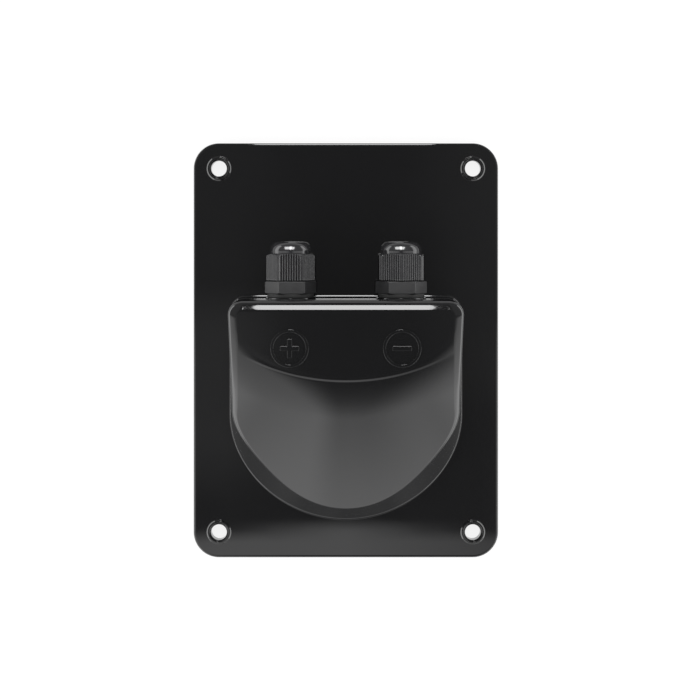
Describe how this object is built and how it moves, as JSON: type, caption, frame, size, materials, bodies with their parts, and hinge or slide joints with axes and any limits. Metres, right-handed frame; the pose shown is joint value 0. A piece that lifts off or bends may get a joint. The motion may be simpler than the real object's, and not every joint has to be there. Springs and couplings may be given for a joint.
{
  "type": "cable entry housing",
  "caption": "Flanged roof housing with a hollow D-shaped dome, corner screw holes and side by side cable glands on its straight front wall, for solar cables.",
  "frame": {"origin": "middle of the flange's underside, on the plane that meets the roof", "axes": "+Z out of the roof through the dome, +Y along the flange's long side, the way the glands face, +X to the right when looking down with +Y up"},
  "size_m": [0.1324, 0.18, 0.039],
  "materials": {
    "abs_housing": "black moulded ABS, glossy",
    "nylon_gland": "black moulded nylon, semi-matte",
    "rubber_seal": "black moulded rubber, matte"
  },
  "bodies": {
    "housing": {"housing_shell": "abs_housing", "left_gland_body": "nylon_gland", "left_gland_washer": "rubber_seal", "left_lock_nut": "nylon_gland", "right_gland_body": "nylon_gland", "right_gland_washer": "rubber_seal", "right_lock_nut": "nylon_gland"},
    "left_seal": {"left_sealing_insert": "rubber_seal"},
    "left_cap": {"left_dome_nut": "nylon_gland"},
    "right_seal": {"right_sealing_insert": "rubber_seal"},
    "right_cap": {"right_dome_nut": "nylon_gland"}
  },
  "joints": [
    {"name": "left_seal_slide", "type": "slide", "parent": "housing", "child": "left_seal", "axis": [0, 1, 0], "range_m": [0, 0.00526]},
    {"name": "left_cap_turn", "type": "hinge", "parent": "left_seal", "child": "left_cap", "pos_m": [-0.0236, 0.0389, 0.0205], "axis": [0, 1, 0], "range_deg": [0, 1260]},
    {"name": "right_seal_slide", "type": "slide", "parent": "housing", "child": "right_seal", "axis": [0, 1, 0], "range_m": [0, 0.00526]},
    {"name": "right_cap_turn", "type": "hinge", "parent": "right_seal", "child": "right_cap", "pos_m": [0.0236, 0.0389, 0.0205], "axis": [0, 1, 0], "range_deg": [0, 1260]}
  ],
  "couplings": [
    {"joint": "left_seal_slide", "follows": "left_cap_turn", "m_per_rad": 0.00023873},
    {"joint": "right_seal_slide", "follows": "right_cap_turn", "m_per_rad": 0.00023873}
  ]
}
